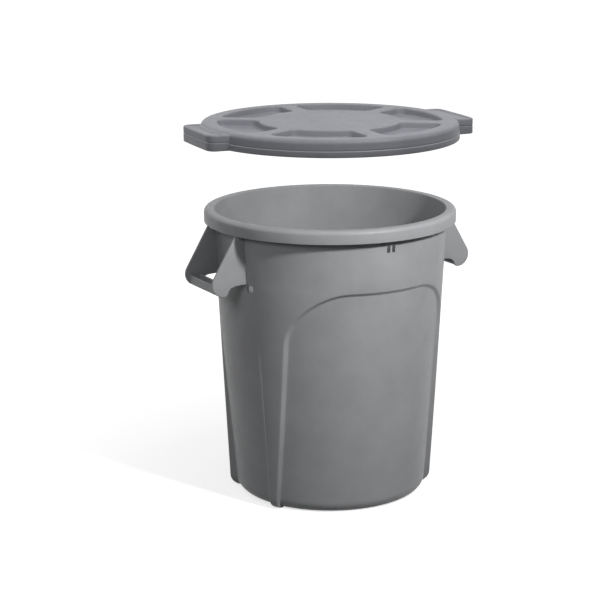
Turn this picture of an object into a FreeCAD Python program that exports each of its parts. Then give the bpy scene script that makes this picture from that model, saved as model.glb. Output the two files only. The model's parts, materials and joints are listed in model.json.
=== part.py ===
import FreeCAD, Part
import os
from math import acos, asin, atan, atan2, cos, degrees, hypot, radians, sin, sqrt
from FreeCAD import Vector

# Round utility container with a lift-off lid, in millimetres.
# The tub is tapered and stands on the plane z = 0 with its axis on Z. An arched panel is sunk into its
# front (-Y) and its back (+Y), and a handle hangs under the rim on each side (-X and +X).
# The lid hovers over the tub, level and on the same axis, turned a little about it.
# Heights of lid features are counted from the plane of the rim's top, where the closed lid sits.

os.makedirs("parts", exist_ok=True)

# Tub
tub_height = 570.0
wall_top_radius = 229.5
wall_taper = 28.2
wall_thickness = 3.5
floor_thickness = 4.0
base_band_height = 24.0

# Rim, a channel open below
rim_overhang = 18.0
rim_height = 25.5
rim_flange_thickness = 3.0
rim_land_thickness = 3.5
rim_outer_rounding = 5.0
rim_inner_rounding = 2.0

# Arched panels, front and back
panel_foot_depth = 12.0
panel_head_depth = 5.0
panel_half_angle = 61.74
panel_step_width = 13.0
panel_step_rise = -1.5
panel_drop = 100.5
panel_corner_radius = 100.0
panel_foot_rounding = 22.0
panel_head_margin = 5.0

# Sunk sides under the handles, which fade out upward
side_depth = 14.0
side_half_angle = 24.35
side_step_width = 7.0
side_fade_drop = 82.0
rib_foot_rounding = 22.0

# Handles
bracket_offset = 57.6
bracket_thickness = 5.0
bracket_overhang = 42.0
bracket_low_edge_drop = 95.0
bracket_corner_radius = 24.0
bracket_lobe_rise = 8.0
grip_setback = 8.5
grip_width = 25.0
grip_drop = 114.0
grip_height = 21.5
grip_wall = 4.0
grip_rounding = 12.0

# Windows in the wall
foot_window_width = 15.0
foot_window_height = 12.0
foot_window_drop = 108.5
foot_window_margin = 2.0
cinch_slot_width = 7.0
cinch_slot_height = 14.0
cinch_slot_drop = 25.0
cinch_divider = 4.0

# Lid
lid_hover = 162.0
lid_turn = -6.0
lid_fit_clearance = 0.8
lid_wall = 2.8
lid_crown_height = 8.0
lid_crown_rounding = 6.0
lid_side_band_depth = 10.0
lid_skirt_depth = 25.0
lid_lip_depth = 12.0
lid_lip_proud = 1.2
lid_seat_rib_inset = 11.5
lid_seat_rib_width = 4.0
trough_count = 6
trough_mouth_clearance = 5.5
trough_width = 80.0
trough_depth = 13.0
trough_corner_radius = 16.0
spoke_width = 32.0
tab_length = 28.0
tab_half_width = 78.0
tab_corner_radius = 16.0
tab_top_drop = 2.5
tab_wall = 3.0
tab_edge_rounding = 2.5

# One overrun for every cut that runs past its stock
overrun = 5.0

# Sizes that follow from the ones above
rim_underside = tub_height - rim_height
land_underside = tub_height - rim_land_thickness
wall_foot_radius = wall_top_radius - wall_taper
wall_slope = wall_taper / rim_underside
rim_outer_radius = wall_top_radius + rim_overhang
rim_inner_radius = wall_foot_radius + wall_slope * tub_height - wall_thickness
panel_half_width = wall_foot_radius * sin(radians(panel_half_angle))
panel_edge = panel_half_width + wall_thickness
panel_top = rim_underside - panel_drop
panel_head = panel_top + panel_head_margin
side_half_width = wall_foot_radius * sin(radians(side_half_angle))
side_top = panel_top - side_fade_drop
bracket_outer_side = bracket_offset + bracket_thickness / 2
bracket_reach = rim_outer_radius + bracket_overhang
bracket_low_edge = rim_underside - bracket_low_edge_drop
grip_outer_face = bracket_reach - grip_setback
grip_bottom = rim_underside - grip_drop
foot_window_bottom = rim_underside - foot_window_drop
foot_window_edge = bracket_outer_side + foot_window_width
side_edge = max(side_half_width + wall_thickness, foot_window_edge + foot_window_margin)
cinch_slot_bottom = rim_underside - cinch_slot_drop
lid_inner_radius = rim_outer_radius + lid_fit_clearance
lid_outer_radius = lid_inner_radius + lid_wall
lid_lip_radius = lid_outer_radius + lid_lip_proud
lid_seat_rib_radius = rim_outer_radius - lid_seat_rib_inset
trough_outer_radius = rim_inner_radius - trough_mouth_clearance - lid_wall
trough_inner_radius = trough_outer_radius - trough_width
trough_pitch = 360.0 / trough_count
tab_reach = lid_lip_radius + tab_length
seat_height = tub_height + lid_hover


# Helpers

def at(radius, height):
    """Point in the plane of a turned outline."""
    return Vector(radius, 0, height)


def line(start, end):
    return Part.LineSegment(start, end).toShape()


def arc(start, middle, end):
    return Part.Arc(start, middle, end).toShape()


def quarter(centre, radius, start_angle, end_angle):
    """Arc in the XZ plane about a centre, from one angle to another, both in degrees."""
    points = []
    for angle in (start_angle, (start_angle + end_angle) / 2, end_angle):
        points.append(centre + Vector(radius * cos(radians(angle)), 0, radius * sin(radians(angle))))
    return arc(*points)


def lathe(edges):
    """Solid turned about Z from the edges of a closed outline in the XZ plane."""
    return Part.Face(Part.Wire(edges)).revolve(Vector(0, 0, 0), Vector(0, 0, 1), 360)


def lathe_points(outline):
    """Solid turned about Z from a closed outline of (radius, height) corners."""
    corners = [at(radius, height) for radius, height in outline]
    return lathe([line(start, end) for start, end in zip(corners, corners[1:] + corners[:1])])


def block(x_ends, y_ends, z_ends):
    """Box between two values on each axis."""
    low = Vector(min(x_ends), min(y_ends), min(z_ends))
    high = Vector(max(x_ends), max(y_ends), max(z_ends))
    size = high - low
    return Part.makeBox(size.x, size.y, size.z, low)


def turned(shape, angle):
    """Copy of a shape turned about Z."""
    copy = shape.copy()
    copy.rotate(Vector(0, 0, 0), Vector(0, 0, 1), angle)
    return copy


def raised(shape, height):
    """Copy of a shape lifted along Z."""
    copy = shape.copy()
    copy.translate(Vector(0, 0, height))
    return copy


def prism_between(outlines):
    """Ruled solid through polygons with the same number of corners."""
    wires = []
    for outline in outlines:
        corners = [Vector(*corner) for corner in outline]
        wires.append(Part.makePolygon(corners + corners[:1]))
    return Part.makeLoft(wires, True, True)


def wall_radius(height):
    """Radius of the tub's outermost skin, which the ribs and the upper wall share."""
    return wall_foot_radius + wall_slope * height


# Tub wall

def cone_mass(foot_radius, top_radius, floor, rounding):
    """Solid cone from a floor up to the underside of the rim's land, with its lower edge rounded."""
    top = land_underside
    slope = (top_radius - foot_radius) / rim_underside
    lean = atan(slope)
    middle = floor + rounding
    centre = at(foot_radius + slope * middle - rounding / cos(lean), middle)
    tangent = centre + Vector(rounding * cos(lean), 0, -rounding * sin(lean))
    crown = at(foot_radius + slope * top, top)
    return lathe([
        line(at(0, floor), centre - Vector(0, 0, rounding)),
        quarter(centre, rounding, -90, -degrees(lean)),
        line(tangent, crown),
        line(crown, at(0, top)),
        line(at(0, top), at(0, floor)),
    ])


def panel_zone(grow):
    """Space in front of the sunk front panel: a sloped step along each leg, an arch over the top."""
    outer = panel_half_width + grow
    crown = panel_top + grow
    inner = outer - panel_step_width
    past = 2 * overrun
    rise = past * panel_step_rise / panel_step_width
    front = -2 * rim_outer_radius
    sections = []
    for height in (-past, crown + past):
        edge = grow - sqrt(wall_radius(height) ** 2 - panel_half_width ** 2)
        deep = edge + panel_step_rise + rise
        sections.append([
            (-outer - past, edge - rise, height),
            (-inner + past, deep, height),
            (inner - past, deep, height),
            (outer + past, edge - rise, height),
            (outer + past, front, height),
            (-outer - past, front, height),
        ])
    legs = prism_between(sections)
    radius = panel_corner_radius + grow
    shoulder = crown - radius
    arch = Part.Face(Part.Wire([
        line(at(-outer, -past), at(outer, -past)),
        line(at(outer, -past), at(outer, shoulder)),
        quarter(at(outer - radius, shoulder), radius, 0, 90),
        line(at(outer - radius, crown), at(radius - outer, crown)),
        quarter(at(radius - outer, shoulder), radius, 90, 180),
        line(at(-outer, shoulder), at(-outer, -past)),
    ])).extrude(Vector(0, front, 0))
    return legs.common(arch)


def side_zone(grow):
    """Space beside the sunk side at +X, with a sloped step along both edges."""
    outer = side_half_width + grow
    past = 2 * overrun
    run = side_step_width / side_depth
    deep = side_depth + past
    sections = []
    for height in (-past, side_top + past):
        edge = sqrt(wall_radius(height) ** 2 - side_half_width ** 2) - grow
        sections.append([
            (edge - deep, -outer + deep * run, height),
            (edge - deep, outer - deep * run, height),
            (edge + past, outer + past * run, height),
            (2 * rim_outer_radius, outer + past * run, height),
            (2 * rim_outer_radius, -outer - past * run, height),
            (edge + past, -outer - past * run, height),
        ])
    return prism_between(sections)


def tub_mass(inset, floor):
    """Solid form of the tub, with every wall drawn in by inset, standing on a floor height."""
    foot = wall_foot_radius - inset
    top = wall_top_radius - inset
    rib_rounding = max(rib_foot_rounding - inset, wall_thickness)
    corner_rounding = panel_foot_rounding - inset
    ease = (panel_foot_depth - panel_head_depth) * rim_underside / panel_top
    fade = side_depth * rim_underside / side_top
    front_core = cone_mass(foot - panel_foot_depth, top - panel_foot_depth + ease, floor, corner_rounding)
    side_core = cone_mass(foot - side_depth, top - side_depth + fade, floor, corner_rounding)
    front_gap = panel_zone(inset).cut(front_core)
    side_gap = side_zone(inset).cut(side_core)
    mass = cone_mass(foot, top, floor, rib_rounding)
    for angle in (0, 180):
        mass = mass.cut(turned(front_gap, angle))
        mass = mass.cut(turned(side_gap, angle))
    return mass


def foot_windows():
    """Small square window through the wall beside the foot of each handle bracket."""
    skin = sqrt(wall_radius(foot_window_bottom) ** 2 - foot_window_edge ** 2)
    places = []
    for sign in (-1, 1):
        window = block((skin - 2 * overrun, skin + 4 * overrun),
                       (sign * bracket_outer_side, sign * foot_window_edge),
                       (foot_window_bottom, foot_window_bottom + foot_window_height))
        places += [window, turned(window, 180)]
    return places


def cinch_slots():
    """Pair of upright slots under the rim in front, which hold the edge of a bag."""
    skin = wall_radius(cinch_slot_bottom)
    places = []
    for sign in (-1, 1):
        near = sign * cinch_divider / 2
        slot = block((near, near + sign * cinch_slot_width),
                     (-skin - 2 * overrun, -skin + 2 * overrun),
                     (cinch_slot_bottom, cinch_slot_bottom + cinch_slot_height))
        places.append(slot)
    return places


def tub_regions():
    """Floor and wall of the tub, divided where the form changes."""
    shell = tub_mass(0, 0).cut(tub_mass(wall_thickness, floor_thickness))
    for window in foot_windows() + cinch_slots():
        shell = shell.cut(window)
    past = rim_outer_radius
    around = (-past, past)
    heights = (base_band_height, panel_head)
    regions = {
        "base": shell.common(block(around, around, (0, base_band_height))),
        "upper_wall": shell.common(block(around, around, (panel_head, land_underside))),
    }
    for name, sign in (("front", -1), ("back", 1)):
        across = (sign * side_edge, sign * past)
        regions[name + "_panel"] = shell.common(block((-panel_edge, panel_edge), across, heights))
        for side, x_sign in (("left", -1), ("right", 1)):
            corner = (x_sign * panel_edge, x_sign * past)
            regions["rib_" + name + "_" + side] = shell.common(block(corner, across, heights))
    for side, sign in (("left", -1), ("right", 1)):
        regions[side + "_side"] = shell.common(block((0, sign * past), (-side_edge, side_edge), heights))
    return regions


def rim():
    """Rim with a flat land, rounded edges and a hanging flange."""
    inner = rim_inner_radius
    outer = rim_outer_radius
    flange = outer - rim_flange_thickness
    outer_centre = at(outer - rim_outer_rounding, tub_height - rim_outer_rounding)
    inner_centre = at(inner + rim_inner_rounding, tub_height - rim_inner_rounding)
    return lathe([
        line(at(inner, land_underside), inner_centre - Vector(rim_inner_rounding, 0, 0)),
        quarter(inner_centre, rim_inner_rounding, 180, 90),
        line(inner_centre + Vector(0, 0, rim_inner_rounding), outer_centre + Vector(0, 0, rim_outer_rounding)),
        quarter(outer_centre, rim_outer_rounding, 90, 0),
        line(outer_centre + Vector(rim_outer_rounding, 0, 0), at(outer, rim_underside)),
        line(at(outer, rim_underside), at(flange, rim_underside)),
        line(at(flange, rim_underside), at(flange, land_underside)),
        line(at(flange, land_underside), at(inner, land_underside)),
    ])


# Handles

def bracket(sign):
    """Upright plate along X at +X: it hangs under the rim and carries one end of the grip."""
    radius = bracket_corner_radius
    centre = at(bracket_reach - radius, grip_bottom + radius)
    start = at(sqrt(rim_outer_radius ** 2 - bracket_outer_side ** 2), rim_underside)
    away = start - centre
    tilt = degrees(atan2(away.z, away.x) - acos(radius / hypot(away.x, away.z)))
    shoulder = centre + Vector(radius * cos(radians(tilt)), 0, radius * sin(radians(tilt)))
    lobe_inner = grip_outer_face - grip_width
    lobe_foot = at(lobe_inner + bracket_lobe_rise, grip_bottom)
    lobe_back = at(lobe_inner, grip_bottom + bracket_lobe_rise)
    low_skin = sqrt(wall_radius(bracket_low_edge) ** 2 - bracket_outer_side ** 2)
    high_skin = sqrt(wall_radius(rim_underside) ** 2 - bracket_outer_side ** 2)
    wall_low = at(low_skin - overrun, bracket_low_edge)
    wall_high = at(high_skin - overrun, rim_underside)
    plate = Part.Face(Part.Wire([
        line(wall_high, start),
        line(start, shoulder),
        quarter(centre, radius, tilt, -90),
        line(centre - Vector(0, 0, radius), lobe_foot),
        line(lobe_foot, lobe_back),
        line(lobe_back, wall_low),
        line(wall_low, wall_high),
    ])).extrude(Vector(0, bracket_thickness, 0))
    plate.translate(Vector(0, sign * bracket_offset - bracket_thickness / 2, 0))
    return plate.cut(cone_mass(wall_foot_radius, wall_top_radius, 0, rib_foot_rounding))


def grip():
    """Grip at +X: a channel open above, from one bracket to the other."""
    outer = grip_outer_face
    inner = outer - grip_width
    low = grip_bottom
    high = grip_bottom + grip_height
    bend = low + grip_rounding
    inner_centre = at(inner + grip_rounding, bend)
    outer_centre = at(outer - grip_rounding, bend)
    hollow_bend = grip_rounding - grip_wall
    length = 2 * bracket_offset - bracket_thickness
    bar = Part.Face(Part.Wire([
        line(at(inner, high), at(inner, bend)),
        quarter(inner_centre, grip_rounding, 180, 270),
        line(inner_centre - Vector(0, 0, grip_rounding), outer_centre - Vector(0, 0, grip_rounding)),
        quarter(outer_centre, grip_rounding, -90, 0),
        line(at(outer, bend), at(outer, high)),
        line(at(outer, high), at(outer - grip_wall, high)),
        line(at(outer - grip_wall, high), at(outer - grip_wall, bend)),
        quarter(outer_centre, hollow_bend, 0, -90),
        line(outer_centre - Vector(0, 0, hollow_bend), inner_centre - Vector(0, 0, hollow_bend)),
        quarter(inner_centre, hollow_bend, 270, 180),
        line(at(inner + grip_wall, bend), at(inner + grip_wall, high)),
        line(at(inner + grip_wall, high), at(inner, high)),
    ])).extrude(Vector(0, length, 0))
    bar.translate(Vector(0, -length / 2, 0))
    return bar


# Lid, in its own frame: z = 0 is the plane of the rim's top

def trough_block(grow, bottom, top):
    """Upright block with the outline of one trough at +X, its corners rounded, grown on every side."""
    inner = trough_inner_radius - grow
    outer = trough_outer_radius + grow
    edge_offset = spoke_width / 2 - grow
    half_pitch = radians(trough_pitch / 2)
    inner_angle = half_pitch - asin(edge_offset / inner)
    outer_angle = half_pitch - asin(edge_offset / outer)

    def spot(radius, angle):
        return Vector(radius * cos(angle), radius * sin(angle), bottom)

    solid = Part.Face(Part.Wire([
        arc(spot(outer, -outer_angle), spot(outer, 0), spot(outer, outer_angle)),
        line(spot(outer, outer_angle), spot(inner, inner_angle)),
        arc(spot(inner, inner_angle), spot(inner, 0), spot(inner, -inner_angle)),
        line(spot(inner, -inner_angle), spot(outer, -outer_angle)),
    ])).extrude(Vector(0, 0, top - bottom))
    uprights = [edge for edge in solid.Edges if len(edge.Vertexes) == 2
                and abs(edge.Vertexes[0].Z - edge.Vertexes[1].Z) > (top - bottom) / 2]
    return solid.makeFillet(trough_corner_radius + grow, uprights)


def trough_pan():
    """Sunk pan of one trough: a floor with a wall all round."""
    floor_top = lid_crown_height - trough_depth
    outside = trough_block(lid_wall, floor_top - lid_wall, lid_crown_height)
    return outside.cut(trough_block(0, floor_top, lid_crown_height + overrun))


def lid_regions():
    """The lid's sheet, divided into its raised middle, spokes, sunk troughs and outer crown."""
    top = lid_crown_height
    under = top - lid_wall
    ring = trough_outer_radius
    hub = trough_inner_radius
    openings = [turned(trough_block(lid_wall, under - overrun, top + overrun), index * trough_pitch)
                for index in range(trough_count)]
    disc = Part.makeCylinder(ring, lid_wall, at(0, under))
    for opening in openings:
        disc = disc.cut(opening)
    middle = Part.makeCylinder(hub, lid_wall, at(0, under))
    regions = {"lid_plateau": disc.common(middle)}
    spokes = disc.cut(middle)
    half = block((0, 2 * ring), (-spoke_width, spoke_width), (under, top))
    for index in range(trough_count):
        angle = (index + 1 / 2) * trough_pitch
        regions["lid_spoke_" + str(index + 1)] = spokes.common(turned(half, angle))
        regions["lid_trough_" + str(index + 1)] = turned(trough_pan(), index * trough_pitch)
    crown = lid_crown()
    for opening in openings:
        crown = crown.cut(opening)
    regions["lid_crown"] = crown
    return regions


def lid_crown():
    """Outer ring of the lid: flat sheet, rounded shoulder, side band and the rib that rests on the rim."""
    top = lid_crown_height
    under = top - lid_wall
    low = -lid_side_band_depth
    centre = at(lid_outer_radius - lid_crown_rounding, top - lid_crown_rounding)
    inner_bend = lid_crown_rounding - lid_wall
    rib_in = lid_seat_rib_radius - lid_seat_rib_width / 2
    rib_out = lid_seat_rib_radius + lid_seat_rib_width / 2
    return lathe([
        line(at(trough_outer_radius, under), at(trough_outer_radius, top)),
        line(at(trough_outer_radius, top), centre + Vector(0, 0, lid_crown_rounding)),
        quarter(centre, lid_crown_rounding, 90, 0),
        line(centre + Vector(lid_crown_rounding, 0, 0), at(lid_outer_radius, low)),
        line(at(lid_outer_radius, low), at(lid_inner_radius, low)),
        line(at(lid_inner_radius, low), centre + Vector(inner_bend, 0, 0)),
        quarter(centre, inner_bend, 0, 90),
        line(centre + Vector(0, 0, inner_bend), at(rib_out, under)),
        line(at(rib_out, under), at(rib_out, 0)),
        line(at(rib_out, 0), at(rib_in, 0)),
        line(at(rib_in, 0), at(rib_in, under)),
        line(at(rib_in, under), at(trough_outer_radius, under)),
    ])


def lid_skirt():
    """Hanging skirt below the side band, with a proud lip along its lower half."""
    low = -lid_skirt_depth
    lip_top = low + lid_lip_depth
    return lathe_points([
        (lid_inner_radius, low), (lid_lip_radius, low), (lid_lip_radius, lip_top - lid_lip_proud),
        (lid_outer_radius, lip_top), (lid_outer_radius, -lid_side_band_depth),
        (lid_inner_radius, -lid_side_band_depth),
    ])


def tab_block(inset, bottom, top):
    """Upright block along +X with its two outer corners rounded, drawn in by inset."""
    half = tab_half_width - inset
    reach = tab_reach - inset
    radius = tab_corner_radius - inset
    solid = block((0, reach), (-half, half), (bottom, top))
    corners = [edge for edge in solid.Edges
               if min(vertex.X for vertex in edge.Vertexes) > reach / 2
               and abs(edge.Vertexes[0].Z - edge.Vertexes[1].Z) > (top - bottom) / 2]
    return solid.makeFillet(radius, corners)


def lid_tab():
    """Lifting tab at +X, a shell open below that grows out of the lid's side."""
    bottom = -lid_skirt_depth
    top = lid_crown_height - tab_top_drop
    body = tab_block(0, bottom, top)
    top_edges = [edge for edge in body.Edges
                 if min(vertex.Z for vertex in edge.Vertexes) > top - lid_wall
                 and max(vertex.X for vertex in edge.Vertexes) > lid_outer_radius / 2]
    body = body.makeFillet(tab_edge_rounding, top_edges)
    hollow = tab_block(tab_wall, bottom - overrun, top - tab_wall)
    lip_top = bottom + lid_lip_depth
    lid_body = lathe_points([
        (0, bottom - overrun), (lid_lip_radius, bottom - overrun), (lid_lip_radius, lip_top - lid_lip_proud),
        (lid_outer_radius, lip_top), (lid_outer_radius, top + overrun), (0, top + overrun),
    ])
    return body.cut(hollow).cut(lid_body)


def save(name, shape):
    solids = shape.Solids
    print(name, "solids", len(solids), "volume cm3", round(shape.Volume / 1000, 2), "valid", shape.isValid())
    piece = solids[0] if len(solids) == 1 else Part.makeCompound(solids)
    piece.exportStep(os.path.join("parts", name + ".step"))


def main():
    for name, region in tub_regions().items():
        save(name, region)
    save("rim", rim())
    bar = grip()
    save("grip_right", bar)
    save("grip_left", turned(bar, 180))
    for sign, right_end, left_end in ((1, "back", "front"), (-1, "front", "back")):
        plate = bracket(sign)
        save("bracket_right_" + right_end, plate)
        save("bracket_left_" + left_end, turned(plate, 180))
    for name, region in lid_regions().items():
        save(name, raised(turned(region, lid_turn), seat_height))
    save("lid_skirt", raised(lid_skirt(), seat_height))
    tab = lid_tab()
    save("lid_tab_right", raised(turned(tab, lid_turn), seat_height))
    save("lid_tab_left", raised(turned(tab, lid_turn + 180), seat_height))


main()
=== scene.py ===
# %% [markdown]
# # A utility container and its lid
#
# The object is a round, tapered container moulded in grey polyethylene, with a loose lid that hovers
# above it. The solid model of every piece is loaded first as a fixed frame, and each cell after that
# dresses one piece: it builds a finer shape in the same place, tells it which body it rides on, and
# gives it the moulded plastic. The scene is in metres, with the floor at z = 0 and the front of the
# container towards -Y. The object's own sizes are written in millimetres, and MM turns them into metres.

import json
from math import acos, asin, atan2, cos, degrees, hypot, pi, radians, sin, sqrt

import bmesh
import bpy
from mathutils import Matrix, Vector

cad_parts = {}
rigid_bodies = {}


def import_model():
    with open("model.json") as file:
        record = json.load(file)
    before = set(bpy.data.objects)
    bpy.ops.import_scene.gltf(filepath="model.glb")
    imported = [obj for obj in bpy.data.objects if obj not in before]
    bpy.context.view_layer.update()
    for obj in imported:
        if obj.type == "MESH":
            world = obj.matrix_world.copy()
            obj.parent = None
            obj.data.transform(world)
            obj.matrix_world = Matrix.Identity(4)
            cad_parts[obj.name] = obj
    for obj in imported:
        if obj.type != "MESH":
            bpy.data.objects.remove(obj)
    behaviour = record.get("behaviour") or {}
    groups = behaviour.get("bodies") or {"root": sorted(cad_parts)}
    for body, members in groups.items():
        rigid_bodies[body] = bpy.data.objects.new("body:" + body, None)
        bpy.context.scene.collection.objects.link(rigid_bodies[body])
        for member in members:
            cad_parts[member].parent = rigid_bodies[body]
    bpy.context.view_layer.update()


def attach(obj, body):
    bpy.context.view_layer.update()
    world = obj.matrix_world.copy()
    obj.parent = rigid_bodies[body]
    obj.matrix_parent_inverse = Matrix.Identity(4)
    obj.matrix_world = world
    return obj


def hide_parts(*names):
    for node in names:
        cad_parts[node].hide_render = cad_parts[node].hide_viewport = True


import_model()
MM = 0.001

# %% [markdown]
# ## Camera, floor and light
#
# The picture was taken with a long lens from above the rim, 30 degrees to the left of the front panel.
# The long lens keeps the rim's ellipse flat. A small sideways shift keeps the container right of
# centre, as it stands there.

# %% Camera
TILT_DOWN, TO_THE_LEFT = 13.92, 30                    # degrees

camera = bpy.data.objects.new("camera", bpy.data.cameras.new("camera"))
bpy.context.scene.collection.objects.link(camera)
camera.location = (-1.8, -3.1177, 1.272)
camera.rotation_euler = (radians(90 - TILT_DOWN), 0, radians(-TO_THE_LEFT))
camera.data.lens = 111.9
camera.data.sensor_width = 36
camera.data.shift_x = -0.05
bpy.context.scene.camera = camera
bpy.context.scene.view_settings.view_transform = "Standard"
print("camera", round(camera.location.length, 3), "m from the foot of the container")

# %% [markdown]
# One function turns a written colour, such as "#87898c", into the linear values that a shader wants.
# One adds a node: it takes the node's type, its settings and what is linked or typed into each socket.
# A socket is named, with _ for a space, or numbered, as in _0. Every material below is made with these
# two, in the empty node tree that the third one makes.

# %% Colour and node helpers
def linear(text):
    channels = [int(text[i:i + 2], 16) / 255 for i in (1, 3, 5)]
    return [c / 12.92 if c <= 0.04045 else ((c + 0.055) / 1.055) ** 2.4 for c in channels] + [1.0]


def add(tree, kind, settings=None, **inputs):
    node = tree.nodes.new("ShaderNode" + kind)
    for name, value in (settings or {}).items():
        setattr(node, name, value)
    for name, value in inputs.items():
        key = int(name[1:]) if name[0] == "_" else name.replace("_", " ")
        if isinstance(value, bpy.types.NodeSocket):
            tree.links.new(value, node.inputs[key])
        else:
            node.inputs[key].default_value = value
    return node


def new_material(name):
    material = bpy.data.materials.new(name)
    material.use_nodes = True
    material.node_tree.nodes.clear()
    return material, material.node_tree


print("a middle grey in linear values:", round(linear("#808080")[0], 3))

# %% [markdown]
# The floor is pale paper. The camera sees it nearly white, while the light that it sends back up to
# the container is held low, so the hollows under the rim and inside the handles stay dark. The near
# lamps don't reach the far floor, so it glows a little more with its distance and stays white, while
# close to the container it glows less and keeps the shadow. The world is white to the camera and to
# reflections, and a dim grey as a lamp. Both ask the same thing of a ray: whether it shows them. Rays
# from the camera do, and so do those of a reflection or through glass.

# %% Floor and world
FLOOR_HALF = 30                                       # metres
NEAR, FAR = 0.4, 1.6                                  # metres from the middle, where the glow changes
NEAR_GLOW, FAR_GLOW = 0.66, 1.0
WORLD_AS_LAMP = 0.08


def shows(tree):
    rays = add(tree, "LightPath")
    direct = add(tree, "Math", {"operation": "MAXIMUM"},
                 _0=rays.outputs["Is Camera Ray"], _1=rays.outputs["Is Transmission Ray"])
    shown = add(tree, "Math", {"operation": "MAXIMUM"},
                _0=direct.outputs[0], _1=rays.outputs["Is Glossy Ray"])
    return shown.outputs[0]


def studio_floor():
    material, tree = new_material("studio_paper")
    shown = shows(tree)
    # A colour mix has its two colours in the sockets 6 and 7, and its result in output 2.
    paper = add(tree, "Mix", {"data_type": "RGBA"}, _0=shown, _6=linear("#444444"), _7=linear("#dcdcdc"))
    lit = add(tree, "BsdfDiffuse", Color=paper.outputs[2])
    away = add(tree, "VectorMath", {"operation": "LENGTH"}, _0=add(tree, "TexCoord").outputs["Object"])
    share = add(tree, "MapRange", Value=away.outputs["Value"], From_Min=NEAR, From_Max=FAR,
                To_Min=NEAR_GLOW, To_Max=FAR_GLOW)
    lift = add(tree, "Math", {"operation": "MULTIPLY"}, _0=shown, _1=share.outputs[0])
    glow = add(tree, "Emission", Color=linear("#ffffff"), Strength=lift.outputs[0])
    both = add(tree, "AddShader", _0=lit.outputs[0], _1=glow.outputs[0])
    add(tree, "OutputMaterial", Surface=both.outputs[0])
    return material


floor_mesh = bpy.data.meshes.new("floor")
bm = bmesh.new()
bmesh.ops.create_grid(bm, x_segments=1, y_segments=1, size=FLOOR_HALF)
bm.to_mesh(floor_mesh)
bm.free()
floor = bpy.data.objects.new("floor", floor_mesh)
bpy.context.scene.collection.objects.link(floor)
floor_mesh.materials.append(studio_floor())

world = bpy.data.worlds.new("studio")
bpy.context.scene.world = world
world.use_nodes = True
world.node_tree.nodes.clear()
strength = add(world.node_tree, "MapRange", Value=shows(world.node_tree), To_Min=WORLD_AS_LAMP, To_Max=1.0)
sky = add(world.node_tree, "Background", Color=linear("#ffffff"), Strength=strength.outputs[0])
add(world.node_tree, "OutputWorld", Surface=sky.outputs[0])
print("floor and world ready")

# %% [markdown]
# Five soft boxes. The key stands in front, a little to the right, and low enough to keep the rim's dark
# line on the wall short. It is near, so the wall gets darker towards the foot, as in the picture. A weak
# one on the left keeps the handle's side from going black, and one overhead lights the lid's top and
# the rim's land. The fourth is for the lid alone: the lid was lit more from above, so its skirt is
# darker than its top. The last is weak and stands behind, so that the container's back can be looked
# at too.

# %% Lamps
LIT_POINT = Vector((0, 0, 0.5))                       # metres, a little under the rim


def lamp(name, azimuth, elevation, distance, size, power):
    """Soft box that faces the lit point. Azimuth 0 stands in front, a positive one to the right."""
    data = bpy.data.lights.new(name, "AREA")
    data.energy = power
    data.size = size
    thing = bpy.data.objects.new(name, data)
    bpy.context.scene.collection.objects.link(thing)
    a, e = radians(azimuth), radians(elevation)
    way = Vector((sin(a) * cos(e), -cos(a) * cos(e), sin(e)))
    thing.location = LIT_POINT + way * distance
    thing.rotation_euler = way.to_track_quat("Z", "Y").to_euler()
    return thing


key = lamp("key", azimuth=10, elevation=28.5, distance=1.45, size=0.14, power=20.5)
fill = lamp("fill", azimuth=-58, elevation=27, distance=3.0, size=1.0, power=20)
top = lamp("top", azimuth=0, elevation=88, distance=2.2, size=1.2, power=9)
lid_key = lamp("lid_key", azimuth=14, elevation=54, distance=2.2, size=1.2, power=29)
back = lamp("back", azimuth=-155, elevation=32, distance=3.2, size=1.6, power=16)

# %% [markdown]
# ## The plastic
#
# Both pieces are moulded polyethylene: a satin, slightly waxy grey. Close up it has a fine pebbled
# skin from the mould, faint clouds where the pigment is not quite even, and small scuffs that catch
# the light as rougher patches. The clouds are about 60 mm across and the pebbles about 1.3 mm, drawn
# a little coarser than real so that they show. Waves about 22 mm long stand for the slight unevenness
# of a large moulding. The IOR is the plastic's own 1.5, while the specular level is under the usual
# 0.5, because this pebbled skin hardly shines. Object coordinates are in metres here, so a pattern of a
# given size in millimetres has a scale of 1000 over that size.

# %% Moulded polyethylene
CLOUDS, WAVES, SCUFFS, PEBBLES = 60, 22, 9, 1.3       # sizes of the patterns
WAVE_RISE, PEBBLE_RISE = 0.25, 0.06                   # heights of the relief


def per(size):
    return 1000 / size


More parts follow.
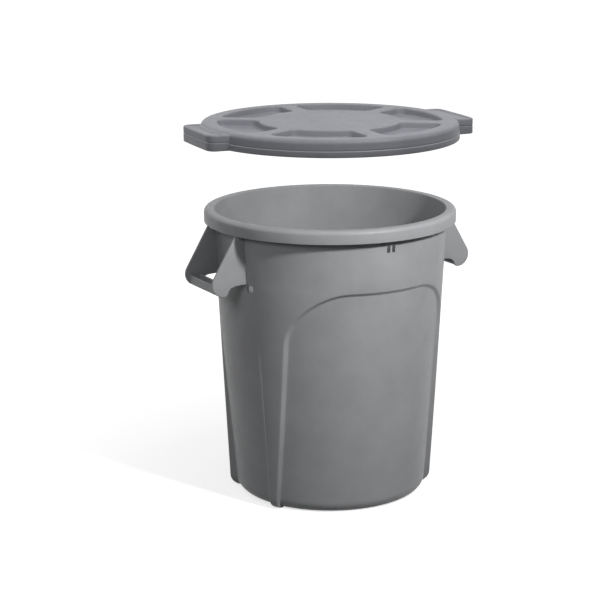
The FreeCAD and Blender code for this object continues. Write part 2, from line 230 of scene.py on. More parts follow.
def moulded_polyethylene(name, base, light, dark):
    material, tree = new_material(name)
    place = add(tree, "TexCoord").outputs["Object"]
    clouds = add(tree, "TexNoise", Vector=place, Scale=per(CLOUDS), Detail=4.0, Roughness=0.55)
    shades = add(tree, "ValToRGB", Fac=clouds.outputs["Fac"])
    ramp = shades.color_ramp
    ramp.elements[0].position, ramp.elements[0].color = 0.30, linear(dark)
    ramp.elements[1].position, ramp.elements[1].color = 0.70, linear(light)
    middle = ramp.elements.new(0.5)
    middle.color = linear(base)
    scuffs = add(tree, "TexNoise", Vector=place, Scale=per(SCUFFS), Detail=6.0, Roughness=0.7)
    worn = add(tree, "MapRange", Value=scuffs.outputs["Fac"], From_Min=0.35, From_Max=0.75,
               To_Min=0.40, To_Max=0.56)
    pebbles = add(tree, "TexVoronoi", {"feature": "SMOOTH_F1"}, Vector=place, Scale=per(PEBBLES),
                  Smoothness=0.6)
    waves = add(tree, "TexNoise", Vector=place, Scale=per(WAVES), Detail=2.0)
    fine = add(tree, "Bump", Height=pebbles.outputs["Distance"], Strength=0.25, Distance=PEBBLE_RISE * MM)
    skin = add(tree, "Bump", Height=waves.outputs["Fac"], Normal=fine.outputs[0], Strength=0.5,
               Distance=WAVE_RISE * MM)
    plastic = add(tree, "BsdfPrincipled", Base_Color=shades.outputs["Color"], Roughness=worn.outputs[0],
                  Normal=skin.outputs[0], IOR=1.5, Specular_IOR_Level=0.22)
    add(tree, "OutputMaterial", Surface=plastic.outputs[0])
    return material


grey_plastic = moulded_polyethylene("grey_polyethylene", "#919294", "#959698", "#8d8e90")
lid_plastic = moulded_polyethylene("lid_polyethylene", "#828389", "#86878d", "#7d7e84")
print("materials:", grey_plastic.name, lid_plastic.name)

# %% [markdown]
# A small finishing step is the same for all pieces: merge what lies on the same spot, point the faces
# outwards, make the object, smooth the shading where faces meet at a gentle angle, and let it ride. A
# piece with a modifier is settled after that, so that its mesh is the final one.

# %% Finishing a piece
SAME_SPOT = 0.02 * MM
CREASE = radians(32)


def piece(bm, name, material, body, nodes=(), recalc=True):
    bmesh.ops.remove_doubles(bm, verts=bm.verts, dist=SAME_SPOT)
    if recalc:
        bmesh.ops.recalc_face_normals(bm, faces=bm.faces)
    mesh = bpy.data.meshes.new(name)
    bm.to_mesh(mesh)
    bm.free()
    thing = bpy.data.objects.new(name, mesh)
    bpy.context.scene.collection.objects.link(thing)
    mesh.materials.append(material)
    mesh.shade_smooth()
    mesh.set_sharp_from_angle(angle=CREASE)
    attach(thing, body)
    if nodes:
        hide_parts(*nodes)
    print(name, "faces", len(mesh.polygons))
    return thing


def settle(thing):
    """Turns a piece's modifiers into its mesh."""
    shaped = thing.evaluated_get(bpy.context.evaluated_depsgraph_get())
    mesh = bpy.data.meshes.new_from_object(shaped)
    old = thing.data
    thing.modifiers.clear()
    thing.data = mesh
    mesh.name = thing.name
    bpy.data.meshes.remove(old)
    mesh.shade_smooth()
    mesh.set_sharp_from_angle(angle=CREASE)


# %% [markdown]
# ## The tub's wall
#
# The wall is a cone that widens upward. A tall arch is pressed into its front and its back, open at the
# bottom, 12 mm deep there and 5 mm at its head, and under each handle the wall sinks gently towards the
# foot. What stays proud between them are four ribs that run down into small feet.
#
# A cone with pressed areas could be cut with booleans, but then the soft edges of the press are hard
# to round. Instead one quarter of the wall is laid out as a few sheets of grid: the sunk panel, the
# sloping step round it, the wall beside it, and the band above. Their rows follow the arch, so the
# step keeps clean, evenly spaced edges. The quarter is then mirrored twice.

# %% Sizes of the wall
RIM_UNDER, RIM_TOP = 544.5, 570.0                     # heights of the rim's lower edge and its land
FOOT, TAPER = 201.3, 28.2                             # radius at the floor, and its gain up to the rim
SLOPE = TAPER / RIM_UNDER
FOOT_ROUNDING = 22.0
ARCH_MID_X, ARCH_MID_Z = 75.0, 342.0                  # where the round corner of the arch starts
ARCH_IN, ARCH_OUT = (164.8, 438.0), (177.6, 446.0)    # half width and top, at the foot and head of the step
PANEL_FOOT_DEPTH, PANEL_HEAD_DEPTH, PANEL_HEAD = 12.0, 5.0, 444.0
SIDE_OUT, SIDE_IN = 84.5, 75.5                        # half width, at the head and foot of the side's flank
SIDE_TOP, SIDE_DEPTH = 362.0, 14.0
WALL = 3.5


def wall_radius(z):
    return FOOT + SLOPE * z


def foot_share(z):
    """Share of the wall's radius that its rounded lower edge leaves at height z."""
    if z >= FOOT_ROUNDING:
        return 1.0
    centre = wall_radius(FOOT_ROUNDING) - FOOT_ROUNDING
    return (centre + sqrt(FOOT_ROUNDING ** 2 - (FOOT_ROUNDING - z) ** 2)) / wall_radius(z)


def panel_sunk(z):
    return PANEL_FOOT_DEPTH - (PANEL_FOOT_DEPTH - PANEL_HEAD_DEPTH) * z / PANEL_HEAD


def side_sunk(z):
    return SIDE_DEPTH * max(0.0, 1 - z / SIDE_TOP)


def press(s):
    """Depth share across a step, from 0 to 1: straight in the middle, rounded at both ends."""
    bend = 0.24
    rise = 1 / (1 - bend)
    if s < bend:
        return rise * s * s / (2 * bend)
    if s > 1 - bend:
        return 1 - rise * (1 - s) ** 2 / (2 * bend)
    return rise * (s - bend / 2)


print("wall radius at the floor and under the rim:", FOOT, wall_radius(RIM_UNDER))

# %% [markdown]
# `sheet_of` makes a plain grid and moves each of its points: the grid's own x and y say in which column
# and row the point is, and a function gives the place for it. Rows that two sheets share get the same
# points, and the doubles are merged at the end. A leg of the arch has its rows close together at the
# foot, where the wall's lower edge is round, and evenly spaced above.

# %% Sheets of the quarter wall
FOOT_ROWS = [0, 0.3, 1.2, 2.7, 4.8, 7.3, 10.2, 13.4, 17, 21, 26]
LEG_START, LEG_STEPS, TURN_STEPS = 60, 8, 14
LEG_ROWS = FOOT_ROWS + [LEG_START + (ARCH_MID_Z - LEG_START) * i / LEG_STEPS for i in range(LEG_STEPS + 1)]
ROWS = len(LEG_ROWS) - 1 + TURN_STEPS
PANEL_COLUMNS, STEP_COLUMNS, RIB_COLUMNS, FLANK_COLUMNS, SIDE_COLUMNS = 26, 12, 9, 8, 10


def sheet_of(bm, across, along, place):
    made = bmesh.ops.create_grid(bm, x_segments=across, y_segments=along, size=0.5)
    for vert in made["verts"]:
        i = round((vert.co.x + 0.5) * across)
        j = round((vert.co.y + 0.5) * along)
        vert.co = Vector(place(i, j)) * MM


def arch_row(j, edge):
    """Half width and height of row j of the arch, at the inner or the outer edge of the step."""
    legs = len(LEG_ROWS) - 1
    if j <= legs:
        return edge[0], LEG_ROWS[j]
    a = (j - legs) / TURN_STEPS * pi / 2
    return (ARCH_MID_X + (edge[0] - ARCH_MID_X) * cos(a), ARCH_MID_Z + (edge[1] - ARCH_MID_Z) * sin(a))


def sunk_point(x, z, sunk):
    """Point of the front at distance x from the middle, sunk below the cone and drawn in at the foot."""
    y = -sqrt((wall_radius(z) - sunk) ** 2 - x ** 2)
    return (x * foot_share(z), y * foot_share(z), z)


def panel_point(i, j):
    x_edge, z = arch_row(j, ARCH_IN)
    return sunk_point(x_edge * i / PANEL_COLUMNS, z, panel_sunk(z))


def leg_step(i, j):
    s = i / STEP_COLUMNS
    (x0, z0), (x1, z1) = arch_row(j, ARCH_IN), arch_row(j, ARCH_OUT)
    x, z = x0 + (x1 - x0) * s, z0 + (z1 - z0) * s
    return sunk_point(x, z, panel_sunk(z) * (1 - press(s)))


def head_step(i, j):
    s = j / STEP_COLUMNS
    z = ARCH_IN[1] + (ARCH_OUT[1] - ARCH_IN[1]) * s
    return sunk_point(ARCH_MID_X * i / PANEL_COLUMNS, z, panel_sunk(z) * (1 - press(s)))


print("rows along the arch:", ROWS)

# %% [markdown]
# Beside the arch the sheet is laid out in angles round the axis, because the wall is a cone again there.
# Its columns are the rib, the flank that leads down to the sunk side, and the side itself. The band
# above the arch takes the angle of each point from the sheet below it, so the two meet point to point.

# %% Sheets beside and above the arch
WALL_TOP = 566.5                                      # just inside the rim's land
BAND_ROWS = [ARCH_OUT[1], 470.0, 495.0, 519.0, RIM_UNDER, WALL_TOP]
OUTSIDE_COLUMNS = RIB_COLUMNS + FLANK_COLUMNS + SIDE_COLUMNS


def outside_point(i, j):
    x_edge, z = arch_row(j, ARCH_OUT)
    radius = wall_radius(z)
    start, flank, side = asin(x_edge / radius), acos(SIDE_OUT / radius), acos(SIDE_IN / radius)
    if i <= RIB_COLUMNS:
        angle = start + (flank - start) * i / RIB_COLUMNS
    elif i <= RIB_COLUMNS + FLANK_COLUMNS:
        s = (i - RIB_COLUMNS) / FLANK_COLUMNS
        angle = flank + (side - flank) * s
        radius -= side_sunk(z) * press(s)
    else:
        s = (i - RIB_COLUMNS - FLANK_COLUMNS) / SIDE_COLUMNS
        angle = side + (pi / 2 - side) * s
        radius -= side_sunk(z)
    radius *= foot_share(z)
    return (radius * sin(angle), -radius * cos(angle), z)


def band_point(point_below):
    def place(i, j):
        x, y, _ = point_below(i)
        angle = atan2(x, -y)
        radius = wall_radius(BAND_ROWS[j])
        return (radius * sin(angle), -radius * cos(angle), BAND_ROWS[j])
    return place


bm = bmesh.new()
sheet_of(bm, PANEL_COLUMNS, ROWS, panel_point)
sheet_of(bm, STEP_COLUMNS, ROWS, leg_step)
sheet_of(bm, PANEL_COLUMNS, STEP_COLUMNS, head_step)
sheet_of(bm, OUTSIDE_COLUMNS, ROWS, outside_point)
sheet_of(bm, PANEL_COLUMNS, len(BAND_ROWS) - 1, band_point(lambda i: head_step(i, STEP_COLUMNS)))
sheet_of(bm, OUTSIDE_COLUMNS, len(BAND_ROWS) - 1, band_point(lambda i: outside_point(i, ROWS)))
print("quarter wall:", len(bm.faces), "faces")

# %% [markdown]
# The wall is the same in front and behind, left and right, so a quarter is enough: it is mirrored across
# X and then across Y, and the points on the seams are merged.

# %% Quarter of the wall, mirrored twice
for axis in ("X", "Y"):
    bmesh.ops.mirror(bm, geom=bm.verts[:] + bm.edges[:] + bm.faces[:], matrix=Matrix.Identity(4),
                     merge_dist=SAME_SPOT, axis=axis)
bmesh.ops.remove_doubles(bm, verts=bm.verts, dist=SAME_SPOT)
print("whole wall:", len(bm.faces), "faces,", len([e for e in bm.edges if e.is_boundary]), "open edges")

# %% [markdown]
# The foot ring is the open lower edge. It is drawn inward along the floor, lifted 3 mm, and closed, so
# the tub stands on a narrow ring as moulded containers do. Under the arches it goes straight back and
# elsewhere towards the axis, because the steep side of the press would fold over if it went towards
# the axis too. Then the whole skin gets its 3.5 mm wall. In the tight corners at the feet a few points
# of the inner skin land below the floor, and are lifted back onto it.

# %% Foot ring and floor
FOOT_RING = [(1.8, 0), (0.9, 2.2), (0.9, 0.8)]        # how far in and how far up each new loop goes
ARCH_END, CHANGE = radians(61), radians(4)            # angle from the front where the way in changes


def extrude_loop(bm, edges):
    """Extrudes edges. Returns the new points and the new edges between them."""
    grown = bmesh.ops.extrude_edge_only(bm, edges=edges)["geom"]
    verts = [g for g in grown if isinstance(g, bmesh.types.BMVert)]
    new = set(verts)
    return verts, [g for g in grown if isinstance(g, bmesh.types.BMEdge) and new.issuperset(g.verts)]


def draw_in(bm, edges, inward, lift):
    verts, ring = extrude_loop(bm, edges)
    for vert in verts:
        x, y = vert.co.x, vert.co.y
        beside = min(1, max(0, (atan2(abs(x), abs(y)) - ARCH_END) / CHANGE))
        straight = Vector((0, -1 if y > 0 else 1, 0))
        way = straight.lerp(-Vector((x, y, 0)).normalized(), beside)
        vert.co += way * inward * MM + Vector((0, 0, lift * MM))
    return ring


ring = [e for e in bm.edges if e.is_boundary and e.verts[0].co.z < 1 * MM]
for inward, lift in FOOT_RING:
    ring = draw_in(bm, ring, inward, lift)
bmesh.ops.contextual_create(bm, geom=ring)
bmesh.ops.recalc_face_normals(bm, faces=bm.faces)
lowest = min(bm.faces, key=lambda f: f.calc_center_median().z)
print("the floor's face points down:", lowest.normal.z < 0)
tub_nodes = ["base", "front_panel", "back_panel", "left_side", "right_side", "upper_wall"]
tub_nodes += ["rib_" + a + "_" + b for a in ("front", "back") for b in ("left", "right")]
tub = piece(bm, "tub_wall", grey_plastic, "container", tub_nodes, recalc=False)
thick = tub.modifiers.new("wall", "SOLIDIFY")
thick.thickness = WALL * MM
thick.offset = -1
settle(tub)
for vert in tub.data.vertices:
    vert.co.z = max(vert.co.z, 0)
print("the lowest point of the wall:", min(v.co.z for v in tub.data.vertices))

# %% [markdown]
# A pair of upright slots under the rim in front lets a bag's edge be pulled through, and a small, nearly
# square window sits beside the foot of each bracket. They are simple through holes, so here a boolean
# with box cutters is the quick and exact way. The cutters are removed afterwards.

# %% Slots and windows
CUT_DEPTH, CUT_ROUNDING = 24, 1.0
SLOT_HALF, SLOT_LOW, SLOT_HIGH = 3.5, 519.5, 533.5
SLOT_SHIFT, SLOT_RADIUS = 5.5, wall_radius(526)       # from the middle plane, and from the axis
WINDOW_HALF, WINDOW_LOW, WINDOW_HIGH = 7.5, 436, 448
WINDOW_SHIFT, WINDOW_RADIUS = 67.6, 214.0


def cutter(bm, radius, half_width, low, high, angle, shift):
    """Box that reaches through the wall, with its long edges rounded."""
    made = bmesh.ops.create_cube(bm, size=1)
    turn = Matrix.Rotation(angle, 4, "Z")
    for vert in made["verts"]:
        x = radius + vert.co.x * CUT_DEPTH
        y = shift + vert.co.y * 2 * half_width
        z = (low + high) / 2 + vert.co.z * (high - low)
        vert.co = turn @ (Vector((x, y, z)) * MM)
    through = [e for e in bm.edges if e.verts[0] in made["verts"] and e.verts[1] in made["verts"]
               and abs((e.verts[0].co - e.verts[1].co).length - CUT_DEPTH * MM) < 1e-6]
    bmesh.ops.bevel(bm, geom=through, offset=CUT_ROUNDING * MM, segments=3, profile=0.5, affect="EDGES",
                    material=-1)


bm = bmesh.new()
for side in (-1, 1):
    cutter(bm, SLOT_RADIUS, SLOT_HALF, SLOT_LOW, SLOT_HIGH, -pi / 2, side * SLOT_SHIFT)
for handle in (0, pi):
    for side in (-1, 1):
        cutter(bm, WINDOW_RADIUS, WINDOW_HALF, WINDOW_LOW, WINDOW_HIGH, handle, side * WINDOW_SHIFT)
cut_mesh = bpy.data.meshes.new("cutters")
bmesh.ops.recalc_face_normals(bm, faces=bm.faces)
bm.to_mesh(cut_mesh)
bm.free()
cutters = bpy.data.objects.new("cutters", cut_mesh)
bpy.context.scene.collection.objects.link(cutters)
holes = tub.modifiers.new("holes", "BOOLEAN")
holes.operation = "DIFFERENCE"
holes.solver = "EXACT"
holes.object = cutters
settle(tub)
bpy.data.objects.remove(cutters)
print("wall with slots and windows:", len(tub.data.polygons), "faces")

# %% [markdown]
# ## The rim
#
# The rim is a channel: a flat land 20 mm wide with a rounded outer edge, and a flange that hangs 25 mm
# down, clear of the wall. One outline turned round the axis makes it. The small roundings matter most
# here, because the rim's highlight lies on them.

# %% Turned outlines
def arc_points(centre, radius, start, end, steps):
    """Points of an arc from one angle to another, in degrees."""
    return [(centre[0] + radius * cos(radians(start + (end - start) * i / steps)),
             centre[1] + radius * sin(radians(start + (end - start) * i / steps))) for i in range(steps + 1)]


def turn_outline(outline, steps):
    bm = bmesh.new()
    verts = [bm.verts.new((x * MM, 0, z * MM)) for x, z in outline]
    edges = [bm.edges.new(pair) for pair in zip(verts, verts[1:] + verts[:1])]
    bmesh.ops.spin(bm, geom=verts + edges, cent=(0, 0, 0), axis=(0, 0, 1), angle=2 * pi, steps=steps,
                   use_merge=True)
    return bm


RIM_OUT, RIM_IN, LAND_UNDER = 247.5, 227.35, 566.4    # two radii, and the height of the land's underside
FLANGE = 3.0
FLANGE_IN = RIM_OUT - FLANGE
MOUTH, EDGE, TIP_OUT, TIP_IN, ROOT = 2.2, 8, 1.2, 1.0, 3    # roundings, in the order of the outline
rim_outline = [(RIM_IN, LAND_UNDER)]
rim_outline += arc_points((RIM_IN + MOUTH, RIM_TOP - MOUTH), MOUTH, 180, 90, 5)
rim_outline += arc_points((RIM_OUT - EDGE, RIM_TOP - EDGE), EDGE, 90, 0, 10)
rim_outline += arc_points((RIM_OUT - TIP_OUT, RIM_UNDER + TIP_OUT), TIP_OUT, 0, -90, 4)
rim_outline += arc_points((FLANGE_IN + TIP_IN, RIM_UNDER + TIP_IN), TIP_IN, -90, -180, 3)
rim_outline += arc_points((FLANGE_IN - ROOT, LAND_UNDER - ROOT), ROOT, 0, 90, 5)
piece(turn_outline(rim_outline, 256), "rim", grey_plastic, "container", ["rim"])

# %% [markdown]
# ## The handles
#
# Each handle is two upright plates that hang under the rim and a grip between them. The plates are
# parallel, because the part of the mould between them has to slide out sideways. A plate is one flat
# outline, given its thickness, and its edges are bevelled.

# %% Bracket plates
REACH, GRIP_LOW = 289.5, 430.5                        # the handle's outermost and lowest points
PLATE, PLATE_MID = 5.0, 57.6                          # thickness, and distance from the handle's middle
PLATE_OUT = PLATE_MID + PLATE / 2
PLATE_BEND, LOBE_X, LOBE_BEND = 24.0, 264, 8          # the outer corner, and the lobe under the grip
LOW_EDGE, ROOT_Z = [(250, 446.0), (240, 449.0)], 450  # from the lobe to the plate's root at the wall
BITE = 1.5                                            # how far the plate goes into the wall
PLATE_BEVEL, CORNER_ANGLE = 1.2, radians(60)


def behind(radius):
    """Distance from the axis plane at which a circle meets the plate's outer side."""
    return sqrt(radius ** 2 - PLATE_OUT ** 2)


def bracket_outline():
    """Out along the rim, down the sloping edge, round the corner and the lobe, and in to the wall."""
    corner = (REACH - PLATE_BEND, GRIP_LOW + PLATE_BEND)
    start = (behind(RIM_OUT), RIM_UNDER)
    away = (start[0] - corner[0], start[1] - corner[1])
    tilt = atan2(away[1], away[0]) - acos(PLATE_BEND / hypot(*away))
    outline = [(behind(wall_radius(RIM_UNDER)) - BITE, RIM_UNDER), start]
    outline += arc_points(corner, PLATE_BEND, degrees(tilt), -90, 14)
    outline += arc_points((LOBE_X, GRIP_LOW + LOBE_BEND), LOBE_BEND, -90, -180, 6)
    return outline + LOW_EDGE + [(behind(wall_radius(ROOT_Z)) - BITE, ROOT_Z)]


def draw_out(outline, start, width):
    """Gives an upright outline its width along y, from start."""
    bm = bmesh.new()
    face = bm.faces.new([bm.verts.new((x * MM, start * MM, z * MM)) for x, z in outline])
    grown = bmesh.ops.extrude_face_region(bm, geom=[face], use_keep_orig=True)["geom"]
    bmesh.ops.translate(bm, verts=[g for g in grown if isinstance(g, bmesh.types.BMVert)],
                        vec=(0, width * MM, 0))
    return bm


def bracket(name, side, turn):
    bm = draw_out(bracket_outline(), side * PLATE_MID - PLATE / 2, PLATE)
    bmesh.ops.recalc_face_normals(bm, faces=bm.faces)
    corners = [e for e in bm.edges if e.calc_face_angle(0) > CORNER_ANGLE]
    bmesh.ops.bevel(bm, geom=corners, offset=PLATE_BEVEL * MM, segments=3, profile=0.5, affect="EDGES",
                    material=-1, clamp_overlap=True)
    bmesh.ops.rotate(bm, verts=bm.verts, cent=(0, 0, 0), matrix=Matrix.Rotation(turn, 3, "Z"))
    piece(bm, name, grey_plastic, "container", [name])


for sign, right_end, left_end in ((1, "back", "front"), (-1, "front", "back")):
    bracket("bracket_right_" + right_end, sign, 0)
    bracket("bracket_left_" + left_end, sign, pi)

# %% [markdown]
# The grip is a channel, open above, as a mould can form it without a core. Its round underside is what
# the hand feels. One outline is drawn out along the handle, from one plate to the other, and goes half a
# millimetre into each.

# %% Grips
GRIP_OUT, GRIP_IN, GRIP_HIGH = 281.0, 256.0, 452.0
GRIP_WALL, GRIP_BEND, GRIP_EDGE, GRIP_BITE = 4.0, 12.0, 1.2, 0.5
CHAMFER = 1.0                                         # on the edges of the channel's inner side


def grip_outline():
    """Down the inner side, round the underside, up to the outer edge, and back through the channel."""
    near, far = (GRIP_IN + GRIP_BEND, GRIP_LOW + GRIP_BEND), (GRIP_OUT - GRIP_BEND, GRIP_LOW + GRIP_BEND)
    edge_z, hollow = GRIP_HIGH - GRIP_EDGE, GRIP_BEND - GRIP_WALL
    outline = [(GRIP_IN, GRIP_HIGH - CHAMFER)]
    outline += arc_points(near, GRIP_BEND, 180, 270, 8)
    outline += arc_points(far, GRIP_BEND, -90, 0, 8)
    outline += arc_points((GRIP_OUT - GRIP_EDGE, edge_z), GRIP_EDGE, 0, 90, 3)
    outline += arc_points((GRIP_OUT - GRIP_WALL + GRIP_EDGE, edge_z), GRIP_EDGE, 90, 180, 3)
    outline += arc_points(far, hollow, 0, -90, 6)
    outline += arc_points(near, hollow, 270, 180, 6)
    outline.append((GRIP_IN + GRIP_WALL, GRIP_HIGH - CHAMFER))
    outline.append((GRIP_IN + GRIP_WALL - CHAMFER, GRIP_HIGH))
    outline.append((GRIP_IN + CHAMFER, GRIP_HIGH))
    return outline


def grip(name, turn):
    half = PLATE_MID - PLATE / 2 + GRIP_BITE
    bm = draw_out(grip_outline(), -half, 2 * half)
    bmesh.ops.rotate(bm, verts=bm.verts, cent=(0, 0, 0), matrix=Matrix.Rotation(turn, 3, "Z"))
    piece(bm, name, grey_plastic, "container", [name])


grip("grip_right", 0)
grip("grip_left", pi)

# %% [markdown]
# ## The lid
#
# The lid is a shallow cap. Its middle and its outer crown stand at one height, with six sunk troughs
# between them and six spokes between the troughs. One sixth is built and turned round: the outline of
# the trough is drawn down step by step to make its rounded wall and its floor, and the same outline
# is drawn out on the flat to meet the neighbouring sixth, the middle and the crown.

# %% Outline of a trough
SEAT, TOP = 732.0, 8.0                                # height of the lid's seat, and of its top above that
TROUGH_OUT, TROUGH_IN, HALF_SPOKE, CORNER = 219.0, 139.0, 16.0, 16.0
HALF_SIXTH = radians(30)
OUTER_STEPS, CORNER_STEPS, SPOKE_STEPS, INNER_STEPS = 7, 6, 5, 6


def polar(radius, angle):
    return (radius * cos(angle), radius * sin(angle))


def turned(x, y, angle):
    return (x * cos(angle) - y * sin(angle), x * sin(angle) + y * cos(angle))


def trough_outline(grow):
    """Points round one trough at +X, drawn outwards by grow. One half is made and mirrored."""
    reach = CORNER + grow
    across = HALF_SPOKE + CORNER
    outer_x = sqrt((TROUGH_OUT - CORNER) ** 2 - across ** 2)
    inner_x = sqrt((TROUGH_IN + CORNER) ** 2 - across ** 2)
    outer_turn, inner_turn = atan2(-across, outer_x), atan2(-across, inner_x)
    by_spoke = arc_points((outer_x, -across), reach, degrees(outer_turn), 90, CORNER_STEPS)
    by_spoke += [(outer_x + (inner_x - outer_x) * i / SPOKE_STEPS, -across + reach)
                 for i in range(1, SPOKE_STEPS)]
    by_spoke += arc_points((inner_x, -across), reach, 90, 180 + degrees(inner_turn), CORNER_STEPS)
    half = [polar(TROUGH_OUT + grow, (HALF_SIXTH + outer_turn) * i / OUTER_STEPS) for i in range(OUTER_STEPS)]
    half += [turned(x, y, HALF_SIXTH) for x, y in by_spoke]
    half += [polar(TROUGH_IN - grow, (HALF_SIXTH + inner_turn) * (1 - i / INNER_STEPS))
             for i in range(1, INNER_STEPS + 1)]
    return half + [(x, -y) for x, y in half[-2:0:-1]]


print("points round a trough:", len(trough_outline(0)))

# %% [markdown]
# The border of the sixth is chosen so that each of the outline's points has a partner: points on the
# outer side go straight out to a circle just past the trough, points on the inner side go in to a
# circle on the middle, and the points beside the spoke go to the spoke's centre line.

# %% Border points
BORDER_OUT, BORDER_IN = 226.0, 128.0
ON_SIDE = 6.4                                         # points nearer than this to a side belong to it


def border_outline():
    """Radius and angle of each point's partner on the border."""
    spots = []
    for x, y in trough_outline(0):
        r, a = hypot(x, y), atan2(y, x)
        if TROUGH_OUT - r < ON_SIDE:
            spots.append((BORDER_OUT, a))
        elif r - TROUGH_IN < ON_SIDE:
            spots.append((BORDER_IN, a))
        else:
            spots.append((r, HALF_SIXTH if a > 0 else -HALF_SIXTH))
    return spots


def spread(spots):
    """Widens the angles on each of the two circles, so that the outermost lie on the spoke's line."""
    wide = list(spots)
    for radius in (BORDER_OUT, BORDER_IN):
        on = [k for k, (r, a) in enumerate(spots) if r == radius]
        widest = max(abs(spots[k][1]) for k in on)
        for k in on:
            wide[k] = (radius, spots[k][1] * HALF_SIXTH / widest)
    return [polar(r, a) for r, a in wide]


border = spread(border_outline())
print("points on the border:", len(border))

# %% [markdown]
# Each new loop is extruded from the one before it. Extruding doesn't tell which new point grew from which
# old one, so every point of a loop keeps the number that it has on the outline, and the point that is
# joined to it in the next loop takes that number over.

# %% The sheet of one sixth
TROUGH_WALL = [                                       # how far outside its edge and how high each loop lies
    (3.2, 0.0), (2.2, -0.15), (1.3, -0.55), (0.55, -1.3), (0.1, -2.3), (-0.5, -9.8), (-0.9, -11.2),
    (-1.8, -12.3), (-3.0, -12.85), (-4.4, -13.0)]


def first_loop(bm, places, height):
    """Closed loop of edges through the places, and the number of each of its points."""
    verts = [bm.verts.new((x * MM, y * MM, height * MM)) for x, y in places]
    edges = [bm.edges.new(pair) for pair in zip(verts, verts[1:] + verts[:1])]
    return edges, {vert: k for k, vert in enumerate(verts)}


def next_loop(bm, edges, order, places, height):
    """Extrudes a closed loop of edges and puts the new points at the given places."""
    verts, loop = extrude_loop(bm, edges)
    for vert in verts:
        others = [e.other_vert(vert) for e in vert.link_edges]
        order[vert] = order[next(other for other in others if other not in verts)]
        x, y = places[order[vert]]
        vert.co = Vector((x * MM, y * MM, height * MM))
    return loop


bm = bmesh.new()
inner, order = first_loop(bm, trough_outline(TROUGH_WALL[0][0]), TOP)
next_loop(bm, inner, order, border, TOP)
for grow, drop in TROUGH_WALL[1:]:
    inner = next_loop(bm, inner, order, trough_outline(grow), TOP + drop)
bmesh.ops.contextual_create(bm, geom=inner)
print("one sixth:", len(bm.faces), "faces")

# %% [markdown]
# The sixth and five turned copies of it make the ring. The crown and the skirt grow from its outer edge,
# ring by ring: a rounded shoulder, an upright band, a fine groove and the proud lip. The middle grows
# inwards in the same way. Its rings dome it by less than a millimetre, so that it does not look dead
# flat, and one face closes it.

# %% Crown, skirt and middle
LID_OUT, CROWN_BEND, SHEET = 251.1, 9, 2.6            # radius, rounding, and the lid's thickness
GROOVE, LIP_PROUD, SKIRT_LOW = 0.7, 1.1, -25.0        # how far in, how far out, and the lip's lower edge
LID_TURN = radians(-6)
SEAM = 0.05 * MM


def circle_edges(bm, radius):
    """Open edges that lie on a circle."""
    return [e for e in bm.edges if e.is_boundary
            and all(abs(hypot(v.co.x, v.co.y) - radius * MM) < 0.3 * MM for v in e.verts)]


def grow_ring(bm, edges, radius, height):
    verts, ring = extrude_loop(bm, edges)
    for vert in verts:
        share = radius * MM / hypot(vert.co.x, vert.co.y)
        vert.co = Vector((vert.co.x * share, vert.co.y * share, height * MM))
    return ring


sixth = bm.verts[:] + bm.edges[:] + bm.faces[:]
for k in range(1, 6):
    copy = bmesh.ops.duplicate(bm, geom=sixth)["geom"]
    bmesh.ops.rotate(bm, verts=[g for g in copy if isinstance(g, bmesh.types.BMVert)], cent=(0, 0, 0),
                     matrix=Matrix.Rotation(k * 2 * HALF_SIXTH, 3, "Z"))
bmesh.ops.remove_doubles(bm, verts=bm.verts, dist=SEAM)

outer_edges = circle_edges(bm, BORDER_OUT)
middle_edges = circle_edges(bm, BORDER_IN)
print("outer ring edges", len(outer_edges), "inner ring edges", len(middle_edges))
shoulder = [(232, TOP - 0.05)] + arc_points((LID_OUT - CROWN_BEND, TOP - CROWN_BEND), CROWN_BEND, 78, 0, 8)
groove = [(LID_OUT, -11.2), (LID_OUT - GROOVE, -11.9), (LID_OUT - GROOVE, -12.7)]
lip = [(LID_OUT + 0.5, -13.3), (LID_OUT + LIP_PROUD, -14.2), (LID_OUT + LIP_PROUD, SKIRT_LOW + 1.2),
       (LID_OUT + 0.7, SKIRT_LOW + 0.4), (LID_OUT - 0.2, SKIRT_LOW)]
for radius, height in shoulder + groove + lip:
    outer_edges = grow_ring(bm, outer_edges, radius, height)
for radius, height in ((105, TOP), (60, TOP + 0.3), (20, TOP + 0.45)):
    middle_edges = grow_ring(bm, middle_edges, radius, height)
bmesh.ops.contextual_create(bm, geom=middle_edges)
bmesh.ops.recalc_face_normals(bm, faces=bm.faces)
highest = max(bm.faces, key=lambda f: f.calc_center_median().z)
print("the lid's top points up:", highest.normal.z > 0)

placing = Matrix.Translation((0, 0, SEAT * MM)) @ Matrix.Rotation(LID_TURN, 4, "Z")
bmesh.ops.transform(bm, matrix=placing, verts=bm.verts)
lid_nodes = ["lid_plateau", "lid_crown", "lid_skirt"]
lid_nodes += ["lid_spoke_" + str(k) for k in range(1, 7)] + ["lid_trough_" + str(k) for k in range(1, 7)]
lid = piece(bm, "lid_cap", lid_plastic, "lid", lid_nodes, recalc=False)
thick = lid.modifiers.new("sheet", "SOLIDIFY")
thick.thickness = SHEET * MM
thick.offset = -1
settle(lid)

# %% [markdown]
# Under the crown a narrow rib runs all the way round. The closed lid rests with it on the rim's land,
# about 10 mm inside the skirt.

# %% Seat rib
RIB_IN, RIB_OUT, RIB_HIGH, RIB_CHAMFER = 234.0, 238.0, TOP - 2.0, 0.6
rib_outline = [(RIB_IN, RIB_HIGH), (RIB_IN, RIB_CHAMFER), (RIB_IN + RIB_CHAMFER, 0.0),
               (RIB_OUT - RIB_CHAMFER, 0.0), (RIB_OUT, RIB_CHAMFER), (RIB_OUT, RIB_HIGH)]
bm = turn_outline(rib_outline, 180)
bmesh.ops.transform(bm, matrix=placing, verts=bm.verts)
piece(bm, "lid_seat_rib", lid_plastic, "lid")

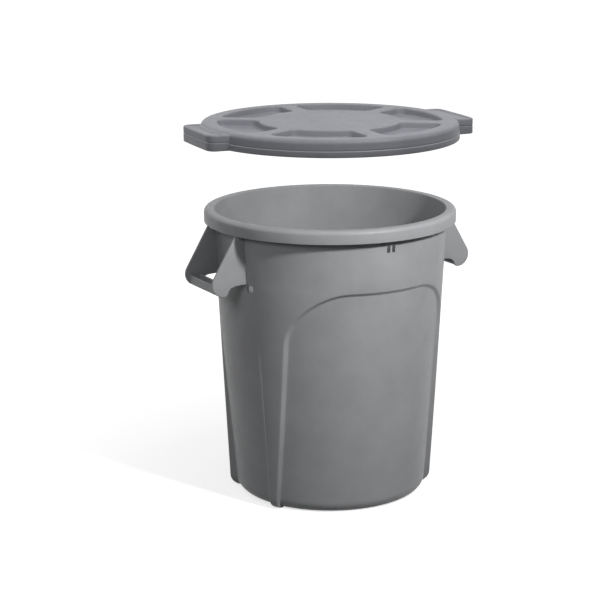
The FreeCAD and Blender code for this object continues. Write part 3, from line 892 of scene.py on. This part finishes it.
# %% [markdown]
# ## The lifting tabs
#
# Two blocky tabs stand out from the skirt. Each is a shell open below, with rounded outer corners, a
# shallow hollow with a raised border on its top, and a groove round its side at half height. All of
# this is one outline again, moved in or out at each height.

# %% Tab outline
TAB_REACH, TAB_HALF, TAB_CORNER, TIGHTEST_CORNER = 280.3, 78.0, 16.0, 3.0
TAB_BOW = 1.6                                         # how far the outer side bows out in the middle
FRONT_STEPS, BEND_STEPS, HUG_STEPS = 12, 8, 28


def tab_outline(inset, hug):
    """Outline of the tab at +X, drawn in by inset. Its inner side follows the lid at radius hug."""
    half, corner = TAB_HALF - inset, max(TAB_CORNER - inset, TIGHTEST_CORNER)
    front = TAB_REACH - inset - TAB_BOW
    spots = []
    for i in range(FRONT_STEPS + 1):
        y = -(half - corner) + 2 * (half - corner) * i / FRONT_STEPS
        spots.append((front + TAB_BOW * (1 - (y / half) ** 2), y))
    spots += arc_points((front - corner, half - corner), corner, 0, 90, BEND_STEPS)[1:]
    hug_angle = asin(half / hug)
    spots += [polar(hug, hug_angle * (1 - 2 * i / HUG_STEPS)) for i in range(HUG_STEPS + 1)]
    return spots + arc_points((front - corner, corner - half), corner, -90, 0, BEND_STEPS)[:-1]


print("points round a tab:", len(tab_outline(0, LID_OUT)))

# %% [markdown]
# The tab starts as one face, the floor of the hollow on its top. Each step then gives how far the
# outline is drawn in, its height, and the radius that its inner side follows: over the raised border,
# down the outside past the groove, round the lower edge and up again inside.

# %% Tabs
TAB_STEPS = [
    (11.0, 3.2, 258.5), (10.0, 3.35, 257.6), (9.3, 4.0, 257.0), (8.8, 4.9, 256.5), (8.0, 5.3, 255.8),
    (4.0, 5.3, 250.0), (2.2, 5.0, 249.8), (0.9, 4.2, 249.6), (0.2, 3.0, 249.5), (0.0, 1.6, 249.5),
    (0.0, -7.4, 249.5), (0.8, -8.2, 249.5), (0.8, -9.4, 249.5), (0.0, -10.2, 249.5), (0.0, -23.6, 249.5),
    (0.4, -24.6, 249.5), (1.5, -25.0, 249.5), (2.6, -24.6, 252.6), (3.0, -23.6, 252.8), (3.0, 1.2, 252.8),
    (5.0, 2.0, 253.2)]


def tab(name, angle):
    bm = bmesh.new()
    inset, height, hug = TAB_STEPS[0]
    edges, order = first_loop(bm, tab_outline(inset, hug), height)
    bm.faces.new(list(order))
    for inset, height, hug in TAB_STEPS[1:]:
        edges = next_loop(bm, edges, order, tab_outline(inset, hug), height)
    bmesh.ops.contextual_create(bm, geom=edges)
    bmesh.ops.transform(bm, matrix=placing @ Matrix.Rotation(angle, 4, "Z"), verts=bm.verts)
    piece(bm, name, lid_plastic, "lid", [name])


tab("lid_tab_right", 0.0)
tab("lid_tab_left", pi)

# %% [markdown]
# ## The lid's shadow
#
# The lid was photographed by itself and hangs in the picture without shading the tub: the inside of the
# far wall is as light as the outside. Light linking does the same. A lamp can be given a collection,
# which is in no scene, that says what blocks its light. The lid's pieces are marked in it as left out,
# and all else still throws shadows. The key uses the same collection to leave the lid unlit, and the
# lid's own lamp a second one to light only the lid.

# %% Keep the lid's shadow off the tub
def lid_collection(name, state):
    linked = bpy.data.collections.new(name)
    for thing in bpy.data.objects:
        if thing.type == "MESH" and thing.name.startswith("lid_"):
            linked.objects.link(thing)
    for member in linked.collection_objects:
        member.light_linking.link_state = state
    return linked


all_but_the_lid = lid_collection("all_but_the_lid", "EXCLUDE")
for thing in (key, fill, top, back):
    thing.light_linking.blocker_collection = all_but_the_lid
key.light_linking.receiver_collection = all_but_the_lid
lid_key.light_linking.receiver_collection = lid_collection("only_the_lid", "INCLUDE")
